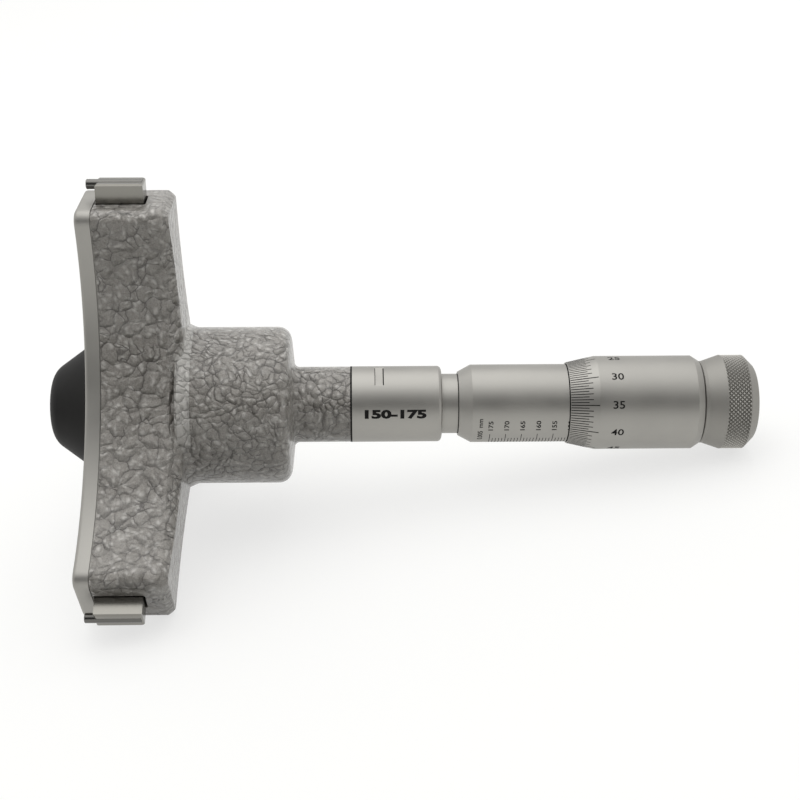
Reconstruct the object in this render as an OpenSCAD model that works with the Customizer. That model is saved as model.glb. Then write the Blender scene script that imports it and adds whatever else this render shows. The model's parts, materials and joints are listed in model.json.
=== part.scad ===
// Three-point inside micrometer for bores of 150 to 175 mm.
// A measuring cone on the spindle axis is pushed towards the nose by the micrometer screw and
// drives three plungers outward. Each plunger carries a jaw with a hard contact pin.
// The spindle axis is X: the nose points to -X and the ratchet knob to +X. The origin lies on the
// spindle axis in the plane of the three plungers. The whole instrument is then tilted so that it
// lies as on a table, on the back corners of its two lower arms and on the rim of its knob.

/* [Measuring range] */
// Diameter over the three contact pins with the jaws drawn in
range_start = 150; // [146:1:156]
// Growth of that diameter over the whole travel, which is also the travel of the cone
range_span = 25; // [20:1:26]

/* [Head outline] */
// How far the flat arm tips stay inside the smallest measuring circle
tip_setback = 6.5; // [6:0.1:7.5]
// Radius of the three concave sides between the arms
side_r = 77; // [70:1:84]
// Distance from the axis to the middle of each concave side
crotch_r = 24.4; // [24:0.1:25]
// Corner radius of the arm tips
tip_round = 3.5; // [2.5:0.25:4.5]

/* [Head casting] */
// Depth of the casting's side walls behind the cover plate
arm_depth = 20.4; // [19.5:0.1:23]
// Height of the crowned back above the side walls at the hub
crown_hub = 4; // [3.5:0.1:5]
// Height of the crowned back above the side walls at the arm tips
crown_tip = 1.9; // [1.5:0.1:2.5]
// Width of the rounded flank between side wall and back
crown_w = 8; // [6.5:0.25:9]
// How far the round pad under the boss stands out round it
pad_lip = 1.8; // [1.5:0.1:2.5]
// Height at which the pad has narrowed to the boss, above the side walls
pad_rise = 6.9; // [6:0.1:8]
// Radius of the boss
boss_r = 24.8; // [24:0.1:25.2]
// Length of the boss behind the side walls
boss_len = 36.2; // [34:0.2:42]
// Corner radius at the end of the boss
boss_round = 4.1; // [3:0.1:5]
// Radius of the neck behind the boss
neck_r = 12; // [11:0.1:13]
// Length of the neck
neck_len = 18.55; // [16:0.25:24]

/* [Cover plate] */
// Thickness of the cover plate
plate_t = 5; // [4:0.1:6]
// Rounding of the plate's front edge
plate_round = 1.2; // [0.6:0.1:1.8]
// Distance from the casting's front face to the plungers' axes
plunger_depth = 9.5; // [9.2:0.1:10.5]
// Radius of the cover screws' threads
screw_r = 1.5; // [1.25:0.25:1.75]
// Length of the cover screws
screw_len = 10; // [9:0.5:11]

/* [Nose cap] */
// Radius of the cap where it meets the cover plate
nose_base_r = 20.9; // [20:0.1:21.5]
// Radius that the straight flank would reach at the front face
nose_front_r = 10.9; // [10:0.1:12]
// Rounding between front face and flank
nose_round = 7; // [5:0.5:8]
// Wall of the cap
nose_wall = 2; // [1.6:0.1:2.4]

/* [Jaws and plungers] */
// Radius of a plunger, also of its round inner end
plunger_r = 3.5; // [3.2:0.05:3.6]
// Length of a jaw along the spindle axis
jaw_len = 14.1; // [13:0.1:15]
// Width of a jaw
jaw_w = 7.05; // [6.8:0.05:8]
// Radius of a contact pin
pin_r = 1.5; // [1.25:0.05:1.75]
// How far the pin's crest stands out of the jaw
pin_proud = 0.5; // [0.3:0.05:0.7]
// How far the pin's front end stands out of the jaw
pin_reach = 2.9; // [2:0.1:3.5]
// Depth of the jaw pockets in the arm tips
pocket_depth = 3.5; // [3:0.1:4]
// Length of the guide bushes
bush_len = 16; // [14:0.5:18]
// Wall of the guide bushes
bush_wall = 2; // [1.5:0.1:2.2]
// Mean coil radius of the return springs
spring_r = 5; // [4.7:0.05:5.1]
// Wire radius of the return springs
spring_wire_r = 0.5; // [0.4:0.05:0.55]

/* [Measuring cone] */
// Cone radius under the plungers with the jaws drawn in
cone_start_r = 5.5; // [5:0.1:5.8]
// Length of the guided skirt behind the cone
skirt_len = 7; // [6:0.5:8]
// Radius of the push rod behind the cone
rod_r = 6; // [5.5:0.1:6.2]

/* [Handle] */
// Radius of the adapter sleeve that joins the neck to the micrometer head
adapter_r = 12.05; // [11.5:0.05:12.5]
// Length of the adapter sleeve
adapter_len = 28.5; // [25:0.5:34]
// Radius of the waist between adapter and scale sleeve
waist_r = 9.5; // [9.1:0.05:9.8]
// Length of that waist
waist_len = 5.35; // [4:0.25:8]
// Radius of the scale sleeve
sleeve_r = 12.4; // [12:0.05:12.6]
// Radius of the scale sleeve's front end
sleeve_front_r = 10.2; // [10:0.1:11]
// Length of the bevel at that end
sleeve_bevel = 4.1; // [3:0.1:5]
// Bare sleeve left in front of the thimble when it is screwed fully in
sleeve_bare = 9.7; // [8:0.1:12]

/* [Thimble and knob] */
// Running clearance between scale sleeve and thimble
thimble_gap = 0.15; // [0.1:0.01:0.2]
// Thickness of the thimble's front edge
thimble_edge = 0.35; // [0.3:0.05:0.6]
// Outer radius of the thimble
thimble_r = 14.9; // [14.4:0.05:15.2]
// Length of the thimble
thimble_len = 42; // [41.5:0.5:46]
// Length of the graduated bevel at its front
thimble_bevel = 9; // [7:0.25:11]
// Radius of the thimble's back end
thimble_end_r = 13.5; // [13:0.1:14]
// Radius of the knob's front end
knob_front_r = 13.1; // [12.4:0.1:13.4]
// Length of the plain collar at that end
knob_collar = 1.2; // [0.6:0.1:2]
// Radius of the knob at its knurled band
knob_r = 15.05; // [14.5:0.05:15.5]
// Length of the knob's flared front
knob_flare = 5.6; // [5:0.1:6.5]
// Length of the knurled band
knurl_len = 7; // [6:0.1:8]
// Number of teeth of the ratchet
ratchet_teeth = 12; // [12:12:24]

/* [Hidden] */
$fn = 96;

// Clearances
slide_gap = 0.03; // radial clearance of guided shafts and of shafts pressed or screwed in
cone_gap = 0.05; // clearance between cone and plungers
end_gap = 0.5; // clearance left at the ends of the travel
seat_gap = 0.02; // gap between a part and the shoulder that it seats on

// Head outline in the Y-Z plane
arm_step = 120;
contact_r = range_start/2;
tip_r = contact_r - tip_setback;
side_centre_d = crotch_r + side_r;
side_cx = -side_centre_d*sin(arm_step/2);
side_cy = side_centre_d*cos(arm_step/2);
least_round = 0.3;
round_steps = 6;
side_steps = 24;

// Places along the spindle axis, from nose to knob
casting_x = -plunger_depth;
plate_x = casting_x - plate_t;
edge_x = casting_x + arm_depth;
crown_peak = crown_hub + 0.4; // the flank's arc ends just above the back, which trims it
seam_w = 0.3; // width of the fine rebate between cover plate and casting
seam_d = 0.5; // depth of that rebate
past = 20; // how far a trimming solid reaches past the head
flank_r = (crown_w*crown_w + crown_peak*crown_peak)/(2*crown_peak);
boss_x = edge_x + boss_len;
boss_crest = 0.8; // rise of the boss's end face towards the neck
pad_r = boss_r + pad_lip;
pad_foot = 1.9; // height of the pad's widest place above the side walls
neck_x = boss_x + neck_len;
adapter_x = neck_x + adapter_len;
waist_x = adapter_x + waist_len;
thimble_x = waist_x + sleeve_bare + range_span;
thimble_back_x = thimble_x + thimble_len;
thimble_wall = 5.2; // end wall of the thimble
thimble_chamfer = 2.2; // length of the slope at its back end
thimble_floor_x = thimble_back_x - thimble_wall;
inner_end_x = thimble_floor_x - range_span - end_gap;
knob_gap = 0.4;
knob_x = thimble_back_x + knob_gap;
knurl_x = knob_x + knob_collar + knob_flare;
rim_x = knurl_x + knurl_len;
knob_bevel = 3.3;
knob_end_x = rim_x + knob_bevel;
knob_step = 3.15; // how far the slope behind the knurl falls
knob_end_r = knob_r - knob_step;

// Measuring cone: its radius grows by half its travel, so the diameter grows by the travel
cone_slope = 1/2;
cone_lead = 1; // cone in front of the plungers' axes with the jaws drawn in
cone_spare = 5; // cone left behind the plungers at full travel
cone_back_x = range_span + cone_spare;
cone_back_r = cone_start_r + cone_slope*cone_back_x;
skirt_r = cone_back_r + 0.45;
skirt_x = cone_back_x + skirt_len;
cavity_r = skirt_r + 0.05;
cavity_x = skirt_x + 3*end_gap;
rod_x = adapter_x - 3.15; // back end of the push rod
ball_r = 2.5;
ball_x = rod_x - 1;
screw_tip_x = ball_x + ball_r + 0.05;

// Nose cap: it clears the cone's tip at full travel
nose_x = -cone_lead - range_span - 0.3 - nose_wall;
spigot_r = 16.5;
spigot_len = 3;
nose_slope = (nose_base_r - nose_front_r)/(plate_x - nose_x);
nose_angle = atan(nose_slope);
nose_tangent = nose_round*tan((90 - nose_angle)/2);

// Plungers, measured outward from the spindle axis
half_cos = 1/sqrt(1 + cone_slope*cone_slope);
plunger_in = cone_start_r + (plunger_r + cone_gap)/half_cos; // centre of the round inner end
pocket_floor = tip_r - pocket_depth;
jaw_in = pocket_floor + 0.3;
jaw_out = contact_r - pin_proud;
jaw_front_x = casting_x + end_gap;
pocket_gap = 0.5;
pocket_round = 0.8;
stud_r = 2;
stud_len = 5;
bush_out = pocket_floor - 3;
bush_in = bush_out - bush_len;
bush_r = plunger_r + bush_wall;
spring_bore_r = spring_r + 2*spring_wire_r;
clip_in = plunger_in + 4;
clip_t = 1.2;
groove_r = plunger_r - 0.5;
spring_turns = 8;
pin_centre = contact_r - pin_r;

// Cover screws: distance out along the arm and distance to the side
screw_head_d = 1.5;
screw_head_lip = 1.3;
socket_r = 1.1;
socket_d = 1.3;
outer_screw_in = 11.5; // from the arm's tip to the outer pair
inner_screw_out = 31; // from the axis to the inner pair
screw_places = [[tip_r - outer_screw_in, 7], [inner_screw_out, 9]];

// Inside the handle
joint_r = 8.5; // adapter's front spigot in the neck
joint_len = 10;
rod_bore_r = rod_r + 0.3;
barrel_r = 7.5; // inner sleeve's front spigot in the adapter
barrel_len = 15;
core_r = 8.6; // inner sleeve inside the scale sleeve
core_end_r = 8;
core_end_len = 7; // thin end of the inner sleeve that carries the adjusting nut
sleeve_end_x = inner_end_x - core_end_len;
adjust_t = 4.2;
adjust_slot_w = 2;
adjust_slot_d = 1;
slit_w = 0.8;
thread_r = 4.75;
nut_len = 18;
spindle_r = 4.4;
spindle_bore_r = 5.2;
taper_r = 6;
taper_end_r = 5.3;
stub_r = 4;
thimble_bore_r = sleeve_r + thimble_gap;
thimble_front_r = thimble_bore_r + thimble_edge;

// Spanner flats of the adapter sleeve
slot_angle = 13;
slot_back = 21.1; // from the adapter's back end to the flats
slot_w = 2.9;
slot_d = 0.9;

// Ratchet inside the knob
hub_x = thimble_back_x + seat_gap;
hub_t = 3.6;
hub_r = 10.2;
post_r = 5;
knob_bore_r = 10.7;
tooth_h = 0.8;
tooth_in_r = 6.2;
tooth_out_r = 9.8;
tooth_root_w = 1.1;
tooth_crest_w = 0.2;
ring_t = 1.8;
knob_floor_x = knob_x + 9.4;
ring_x = knob_floor_x - tooth_h - 0.15 - ring_t;
knob_head_x = knob_floor_x + 3.2;
head_r = 4.2;
head_t = 2;
shank_r = 1.9;
thread_end_r = shank_r - 0.4; // the shoulder screw's thread in the hub and the stub
drive_slot_w = 0.8;
drive_slot_d = 0.8;

// Lying on the table: the tilt brings the arms' back corners and the knob's rim to one level
low_y = sin(arm_step);
low_z = cos(arm_step);
head_low = max([for (p = arm_points(0)) -(low_y*p.x + low_z*p.y)]);
rest_tilt = atan((head_low - knob_r)/(rim_x - edge_x));

// Centre of an arm tip's corner arc of radius r on the outline moved in by d
function corner_centre(d, r) =
  let (y = tip_r - d - r)
  [side_cx + sqrt(pow(side_r + d + r, 2) - pow(y - side_cy, 2)), y];

// Outline of the upper arm and of the concave side after it, moved in by d
function arm_points(d) =
  let (r = max(tip_round - d, least_round),
       c = corner_centre(d, r),
       a = 180 + atan2(c.y - side_cy, c.x - side_cx),
       sweep = 2*(a - 180 + 90 - arm_step/2))
  concat(
    [for (i = [0:round_steps]) let (t = 180 - a + i*(a - 90)/round_steps)
      [-c.x + r*cos(t), c.y + r*sin(t)]],
    [for (i = [0:round_steps]) let (t = 90 + i*(a - 90)/round_steps)
      [c.x + r*cos(t), c.y + r*sin(t)]],
    [for (i = [1:side_steps - 1]) let (t = a - 180 - i*sweep/side_steps)
      [side_cx + (side_r + d)*cos(t), side_cy + (side_r + d)*sin(t)]]);

function turned_by(p, a) = [p.x*cos(a) - p.y*sin(a), p.x*sin(a) + p.y*cos(a)];

function trefoil_points(d) =
  let (arm = arm_points(d))
  [for (k = [0:2]) for (p = arm) turned_by(p, arm_step*k)];

// Points of an arc, for the profiles of turned parts
function arc(centre, r, from, to, steps = 8) =
  [for (i = [0:steps]) centre + r*[cos(from + (to - from)*i/steps), sin(from + (to - from)*i/steps)]];

module lying() rotate([0, rest_tilt, 0]) children();

// A turned part: its profile is a list of [radius, place along X]
module turned(profile) rotate([0, 90, 0]) rotate_extrude() polygon(profile);

module shaft(r, from, to) translate([from, 0, 0]) rotate([0, 90, 0]) cylinder(r = r, h = to - from);

// Places its children on arm 1, 2 or 3. Arm 1 points up, and children are drawn along +Z
module on_arm(k) rotate([arm_step*(k - 1), 0, 0]) children();

// Triangles that close the outline: a strip along each arm and one triangle at the hub
function cap_faces(n) =
  let (arm_n = n/3, half = round_steps + side_steps/2)
  concat(
    [for (k = [0:2]) for (j = [0:half - 1])
      let (left = k*arm_n + round_steps + 1 + j, right = k*arm_n + round_steps - j + n)
      each [[(right - 1)%n, right%n, left%n], [(right - 1)%n, left%n, (left + 1)%n]]],
    [[for (k = [0:2]) k*arm_n + round_steps + 1 + half]]);

// Solid of the three-armed outline through levels of [place along X, distance moved in]
module trefoil(levels) {
  rings = [for (l = levels) trefoil_points(l[1])];
  n = len(rings[0]);
  top = len(levels) - 1;
  cap = cap_faces(n);
  polyhedron(
    points = [for (l = [0:top]) for (p = rings[l]) [levels[l][0], p.x, p.y]],
    faces = concat(
      cap,
      [for (l = [0:top - 1]) for (i = [0:n - 1]) let (j = (i + 1)%n)
        each [[l*n + i, (l + 1)*n + i, (l + 1)*n + j], [l*n + i, (l + 1)*n + j, l*n + j]]],
      [for (f = cap) [f[2] + top*n, f[1] + top*n, f[0] + top*n]]),
    convexity = 6);
}

// A compression spring of round wire along +Z, with closed end turns
module coil_spring(mean_r, wire_r, height, turns, steps = 14, sides = 6) {
  n = round(turns*steps);
  end = steps;
  low = wire_r;
  closed = 2*wire_r + 0.05;
  open = height - 2*wire_r - 2*closed;
  function z_at(i) =
    i <= end ? low + closed*i/end
    : i >= n - end ? height - low - closed*(n - i)/end
    : low + closed + open*(i - end)/(n - 2*end);
  polyhedron(
    points = [for (i = [0:n]) for (j = [0:sides - 1])
      let (a = 360*i/steps, b = 360*j/sides, r = mean_r + wire_r*cos(b))
      [r*cos(a), r*sin(a), z_at(i) + wire_r*sin(b)]],
    faces = concat(
      [[for (j = [0:sides - 1]) j]],
      [for (i = [0:n - 1]) for (j = [0:sides - 1]) let (m = (j + 1)%sides)
        each [[i*sides + j, (i + 1)*sides + j, (i + 1)*sides + m],
              [i*sides + j, (i + 1)*sides + m, i*sides + m]]],
      [[for (j = [sides - 1:-1:0]) n*sides + j]]),
    convexity = 10);
}

module at_cover_screws()
  for (k = [1:3]) on_arm(k)
    for (place = screw_places, s = [-1, 1]) translate([plate_x, s*place[1], place[0]]) children();

module cover_screw_body(gap = 0) rotate([0, 90, 0]) {
  cylinder(r = screw_r + gap, h = screw_len + gap);
  cylinder(r1 = screw_r + screw_head_lip + gap, r2 = screw_r + gap, h = screw_head_d);
}

module head_casting() color("#8b8a87") difference() {
  union() {
    intersection() {
      trefoil(concat(
        [[casting_x, 0], [edge_x, 0]],
        [for (i = [1:6]) let (low = asin((flank_r - crown_peak)/flank_r), t = low + (90 - low)*i/6)
          [edge_x + crown_peak - flank_r + flank_r*sin(t), crown_w - flank_r*cos(t)]]));
      turned([[0, casting_x - 1], [tip_r + past, casting_x - 1],
              [tip_r + past, edge_x + crown_tip - past*(crown_hub - crown_tip)/(tip_r - crotch_r)],
              [crotch_r, edge_x + crown_hub], [0, edge_x + crown_hub]]);
    }
    boss();
  }
  shaft(cavity_r, casting_x - 1, cavity_x);
  shaft(rod_r + slide_gap, cavity_x - 1, neck_x + 1);
  shaft(joint_r + slide_gap, neck_x - joint_len - seat_gap, neck_x + 1);
  for (k = [1:3]) on_arm(k) arm_bores();
  at_cover_screws() cover_screw_body(slide_gap);
}

// Pad, boss and neck, turned about the spindle axis
module boss() {
  pad_fillet = 3;
  pad_foot_x = edge_x + pad_foot;
  dip = atan(pad_lip/(pad_rise - pad_foot));
  foot = 1.7;
  end_r = boss_r - boss_round;
  turned(concat(
    [[0, casting_x + 2], [crotch_r - 1, casting_x + 2], [crotch_r - 1, edge_x + 1],
     [pad_r - 0.7, pad_foot_x - 0.3], [pad_r, pad_foot_x + 0.4]],
    arc([boss_r + pad_fillet, edge_x + pad_rise], pad_fillet, 180 + dip, 180, 6),
    arc([end_r, boss_x - boss_round - 0.3], boss_round, 0, 80, 8),
    arc([neck_r + foot, boss_x + boss_crest - 0.3 + foot], foot, 265, 180, 6),
    [[neck_r, neck_x - 0.25], [neck_r - 0.25, neck_x], [0, neck_x]]));
}

// Bores of one arm: spring bore, bush bore and the pocket that keeps the jaw from turning
module arm_bores() {
  cylinder(r = spring_bore_r, h = bush_in);
  cylinder(r = bush_r + slide_gap, h = pocket_floor + 1);
  pocket_back_x = jaw_front_x + jaw_len + pocket_gap;
  half_w = jaw_w/2 + pocket_gap;
  corner = pocket_round;
  translate([0, 0, pocket_floor]) linear_extrude(2*pocket_depth) {
    translate([casting_x - 1, -half_w]) square([pocket_back_x - corner - casting_x + 1, 2*half_w]);
    translate([0, corner - half_w]) square([pocket_back_x, 2*(half_w - corner)]);
    for (s = [-1, 1]) translate([pocket_back_x - corner, s*(half_w - corner)]) circle(corner);
  }
}

module cover_plate() color("#a9a8a5") difference() {
  trefoil(concat(
    [for (i = [0:4]) let (t = 90*i/4)
      [plate_x + plate_round*(1 - cos(t)), plate_round*(1 - sin(t))]],
    [[casting_x - seat_gap - seam_w, 0], [casting_x - seat_gap - seam_w, seam_d],
     [casting_x - seat_gap, seam_d]]));
  shaft(spigot_r + slide_gap, plate_x - 1, casting_x + 1);
  at_cover_screws() cover_screw_body(slide_gap);
}

module cover_screws() color("#8f8e8b") at_cover_screws() difference() {
  cover_screw_body();
  rotate([0, 90, 0]) translate([0, 0, -1]) cylinder(r = socket_r, h = socket_d + 1, $fn = 6);
}

// The hollow cap over the cone's tip
module nose_cap() color("#2b2a2a") {
  inner_shift = nose_wall/cos(nose_angle);
  inner_x = nose_x + nose_wall;
  spigot_in = spigot_r - 1.9;
  turned(concat(
    [[0, nose_x]],
    arc([nose_front_r - nose_tangent, nose_x + nose_round], nose_round, -90, -nose_angle, 8),
    [[nose_base_r, plate_x - seat_gap],
     [spigot_r, plate_x - seat_gap],
     [spigot_r, plate_x + spigot_len],
     [spigot_in, plate_x + spigot_len],
     [spigot_in, plate_x - (nose_base_r - inner_shift - spigot_in)/nose_slope],
     [nose_front_r - inner_shift + nose_slope*nose_wall, inner_x],
     [0, inner_x]]));
}

module guide_bush(k) color("#b58a4a") on_arm(k) translate([0, 0, bush_in]) difference() {
  cylinder(r = bush_r, h = bush_len);
  translate([0, 0, -1]) cylinder(r = plunger_r + slide_gap, h = bush_len + 2);
}

module plunger(k) color("#b4b4b2") on_arm(k) difference() {
  union() {
    translate([0, 0, plunger_in]) sphere(plunger_r);
    translate([0, 0, plunger_in]) cylinder(r = plunger_r, h = jaw_in - seat_gap - plunger_in);
    cylinder_from(stud_r, jaw_in - 1, jaw_in + stud_len);
  }
  translate([0, 0, clip_in]) difference() {
    cylinder(r = plunger_r + 1, h = clip_t + 2*seat_gap);
    translate([0, 0, -1]) cylinder(r = groove_r, h = clip_t + 3);
  }
}

module cylinder_from(r, from, to) translate([0, 0, from]) cylinder(r = r, h = to - from);

// The clip that holds the return spring on its plunger: a ring open on one side
module retaining_clip(k) color("#77767a") on_arm(k) translate([0, 0, clip_in + seat_gap])
  linear_extrude(clip_t) difference() {
    circle(spring_r + spring_wire_r + 0.2);
    circle(groove_r + slide_gap);
    translate([0, -groove_r*0.8]) square([3*spring_r, groove_r*1.6]);
  }

module return_spring(k) color("#9a999c") on_arm(k)
  translate([0, 0, clip_in + clip_t + 2*seat_gap])
    coil_spring(spring_r, spring_wire_r, bush_in - clip_in - clip_t - 3*seat_gap, spring_turns);

// A jaw with rounded outer ends and a groove for its contact pin
module jaw(k) color("#8d8c88") on_arm(k) difference() {
  jaw_h = jaw_out - jaw_in;
  end_round = 0.9;
  translate([jaw_front_x, jaw_w/2, jaw_in]) rotate([90, 0, 0]) linear_extrude(jaw_w) {
    square([jaw_len, jaw_h - end_round]);
    translate([end_round, 0]) square([jaw_len - 2*end_round, jaw_h]);
    for (x = [end_round, jaw_len - end_round]) translate([x, jaw_h - end_round]) circle(end_round);
  }
  cylinder_from(stud_r + seat_gap, jaw_in - 1, jaw_in + stud_len + 0.1);
  translate([0, 0, pin_centre]) shaft(pin_r + seat_gap, jaw_front_x - 1, jaw_front_x + jaw_len - 0.5);
  for (s = [-1, 1]) translate([jaw_front_x - 1, s*jaw_w/2, jaw_out]) rotate([45, 0, 0])
    translate([0, -0.35, -0.35]) cube([jaw_len + 2, 0.7, 0.7]);
}

module contact_pin(k) color("#3a3936") on_arm(k) translate([0, 0, pin_centre])
  rotate([0, 90, 0]) rotate_extrude() polygon([
    [0, jaw_front_x - pin_reach], [pin_r - 0.2, jaw_front_x - pin_reach],
    [pin_r, jaw_front_x - pin_reach + 0.2], [pin_r, jaw_front_x + jaw_len - 0.55],
    [0, jaw_front_x + jaw_len - 0.55]]);

// Cone, skirt and push rod in one piece, shown with the jaws drawn in
module measuring_cone() color("#b9b9b7") difference() {
  turned([[0, -cone_lead], [cone_start_r - cone_slope*cone_lead, -cone_lead],
          [cone_back_r, cone_back_x], [skirt_r, cone_back_x + 0.3], [skirt_r, skirt_x],
          [skirt_r - 3, skirt_x], [skirt_r - 5, skirt_x - 5], [rod_r + 2, skirt_x - 5],
          [rod_r, skirt_x - 3], [rod_r, rod_x - 0.5], [rod_r - 0.5, rod_x], [0, rod_x]]);
  shaft(ball_r + seat_gap, ball_x - ball_r - seat_gap, rod_x + 1);
}

module thrust_ball() color("#c9c9c7") translate([ball_x, 0, 0]) sphere(ball_r);

// Sleeve between neck and micrometer head, with two flats for a spanner
module adapter_sleeve() color("#aeada9") difference() {
  bore_step_x = adapter_x - barrel_len - 0.1;
  turned([[rod_bore_r, neck_x - joint_len], [joint_r, neck_x - joint_len],
          [joint_r, neck_x + seat_gap], [adapter_r - 0.25, neck_x + seat_gap],
          [adapter_r, neck_x + 0.25], [adapter_r, adapter_x - 1],
          [adapter_r - 0.35, adapter_x - 0.35], [adapter_r - 1, adapter_x],
          [barrel_r + slide_gap, adapter_x], [barrel_r + slide_gap, bore_step_x],
          [rod_bore_r, bore_step_x]]);
  for (a = [slot_angle, slot_angle + 180]) rotate([a, 0, 0])
    translate([adapter_x - slot_back, -adapter_r, adapter_r - slot_d])
      cube([slot_w, 2*adapter_r, slot_d + 1]);
}

// Barrel with the nut thread at its back end, slit so that the adjusting nut can close it
module inner_sleeve() color("#a5a4a1") difference() {
  turned([[rod_bore_r, adapter_x - barrel_len], [barrel_r, adapter_x - barrel_len],
          [barrel_r, adapter_x + seat_gap], [waist_r, adapter_x + seat_gap],
          [waist_r, waist_x], [core_r, waist_x], [core_r, sleeve_end_x + 0.3],
          [core_end_r, sleeve_end_x + 0.3], [core_end_r, inner_end_x],
          [thread_r + slide_gap, inner_end_x], [thread_r + slide_gap, inner_end_x - nut_len],
          [spindle_bore_r, inner_end_x - nut_len - 0.5],
          [spindle_bore_r, adapter_x + 20], [rod_bore_r, adapter_x + 20]]);
  for (a = [0:120:240]) rotate([a, 0, 0])
    translate([inner_end_x - nut_len + 2, -slit_w/2, 0]) cube([nut_len, slit_w, core_r + 1]);
}

module scale_sleeve() color("#b3b2ae")
  turned([[core_r + slide_gap, waist_x + seat_gap], [sleeve_front_r, waist_x + seat_gap],
          [sleeve_r, waist_x + sleeve_bevel], [sleeve_r, sleeve_end_x],
          [core_r + slide_gap, sleeve_end_x]]);

module adjusting_nut() color("#8b8a88") difference() {
  nut_x = sleeve_end_x + 0.4;
  nut_r = sleeve_r - 1.2;
  corner = 0.6;
  turned([[core_end_r + slide_gap, nut_x], [nut_r, nut_x], [nut_r, nut_x + adjust_t - corner],
          [nut_r - corner, nut_x + adjust_t], [core_end_r + slide_gap, nut_x + adjust_t]]);
  for (a = [0:90:270]) rotate([a, 0, 0])
    translate([nut_x + adjust_t/3, -adjust_slot_w/2, nut_r - adjust_slot_d])
      cube([adjust_t, adjust_slot_w, adjust_slot_d + 1]);
}

// Micrometer screw: spindle, thread, taper for the thimble and stub for the ratchet
module measuring_screw() color("#bdbdbb") difference() {
  thread_x = inner_end_x - nut_len - 2;
  turned([[0, screw_tip_x], [spindle_r - 0.4, screw_tip_x], [spindle_r, screw_tip_x + 0.4],
          [spindle_r, thread_x - 2], [thread_r - 0.75, thread_x - 2], [thread_r - 0.75, thread_x],
          [thread_r, thread_x + 0.5], [thread_r, thimble_floor_x], [taper_r, thimble_floor_x],
          [taper_end_r, thimble_back_x - 0.6], [stub_r, thimble_back_x - 0.6],
          [stub_r, hub_x + hub_t], [0, hub_x + hub_t]]);
  shaft(thread_end_r + slide_gap, hub_x, hub_x + hub_t + 1);
}

module thimble() color("#b0afab") difference() {
  turned([[0, thimble_x], [thimble_front_r, thimble_x], [thimble_r, thimble_x + thimble_bevel],
          [thimble_r, thimble_back_x - thimble_chamfer], [thimble_end_r, thimble_back_x],
          [0, thimble_back_x]]);
  shaft(thimble_bore_r, thimble_x - 1, thimble_floor_x);
  turned([[0, thimble_floor_x - 1], [taper_r + slide_gap, thimble_floor_x - 1],
          [taper_r + slide_gap, thimble_floor_x],
          [taper_end_r + slide_gap, thimble_back_x - 0.6], [taper_end_r + slide_gap, thimble_back_x + 1],
          [0, thimble_back_x + 1]]);
}

// Nut that clamps the thimble on the taper, with a six-sided post for the ratchet ring
module ratchet_hub() color("#9b9a98") difference() {
  union() {
    turned([[0, hub_x], [hub_r, hub_x], [hub_r, hub_x + hub_t - 0.4],
            [hub_r - 0.4, hub_x + hub_t], [0, hub_x + hub_t]]);
    translate([hub_x + hub_t - 1, 0, 0]) rotate([0, 90, 0])
      cylinder(r = post_r, h = knob_floor_x - 0.3 - hub_x - hub_t + 1, $fn = 6);
  }
  shaft(stub_r + slide_gap, hub_x - 1, hub_x + hub_t + seat_gap);
  shaft(thread_end_r + slide_gap, hub_x, knob_floor_x + 1);
}

// One ring of ratchet teeth that stand up along +Z from z = 0, each with one steep side
module tooth_ring(half_step) intersection() {
  union() for (i = [0:ratchet_teeth - 1]) rotate(360*(i + half_step)/ratchet_teeth)
    translate([tooth_in_r - 1, 0, 0]) rotate([90, 0, 90])
      linear_extrude(tooth_out_r - tooth_in_r + 2)
        polygon([[-tooth_root_w/2, -0.5], [tooth_root_w/2, -0.5], [tooth_root_w/2, tooth_h],
                 [tooth_root_w/2 - tooth_crest_w, tooth_h], [-tooth_root_w/2, 0.1]]);
  translate([0, 0, -1]) difference() {
    cylinder(r = tooth_out_r, h = tooth_h + 2);
    translate([0, 0, -1]) cylinder(r = tooth_in_r, h = tooth_h + 4);
  }
}

module ratchet_ring() color("#8f8e8c") difference() {
  union() {
    shaft(knob_bore_r - 0.4, ring_x, ring_x + ring_t);
    translate([ring_x + ring_t, 0, 0]) rotate([0, 90, 0]) tooth_ring(0);
  }
  translate([ring_x - 1, 0, 0]) rotate([0, 90, 0]) cylinder(r = post_r + 0.1, h = 6, $fn = 6);
}

module ratchet_spring() color("#9a999c") translate([hub_x + hub_t + seat_gap, 0, 0])
  rotate([0, 90, 0]) coil_spring(7, 0.35, ring_x - hub_x - hub_t - 2*seat_gap, 3);

// Shoulder screw that keeps the knob on the post and lets it turn
module ratchet_screw() color("#86858a") difference() {
  head_x = knob_head_x + 0.1;
  end_x = head_x + head_t;
  corner = 0.3;
  turned([[0, hub_x + 0.3], [thread_end_r, hub_x + 0.3],
          [thread_end_r, knob_floor_x - 0.28], [shank_r, knob_floor_x - 0.28],
          [shank_r, head_x], [head_r, head_x],
          [head_r, end_x - corner], [head_r - corner, end_x], [0, end_x]]);
  translate([end_x - drive_slot_d, -drive_slot_w/2, -head_r - 1])
    cube([drive_slot_d + 1, drive_slot_w, 2*head_r + 2]);
}

// Ratchet knob, bored from the front, with ratchet teeth on its inner floor
module ratchet_knob() color("#abaaa6") union() {
  turned([[knob_bore_r, knob_x], [knob_front_r, knob_x],
          [knob_front_r, knob_x + knob_collar], [knob_r, knurl_x], [knob_r, rim_x],
          [knob_end_r, knob_end_x], [head_r + 0.5, knob_end_x], [head_r + 0.5, knob_head_x],
          [shank_r + 0.1, knob_head_x], [shank_r + 0.1, knob_floor_x],
          [knob_bore_r, knob_floor_x]]);
  translate([knob_floor_x, 0, 0]) rotate([0, -90, 0]) tooth_ring(0.5);
}

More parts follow.
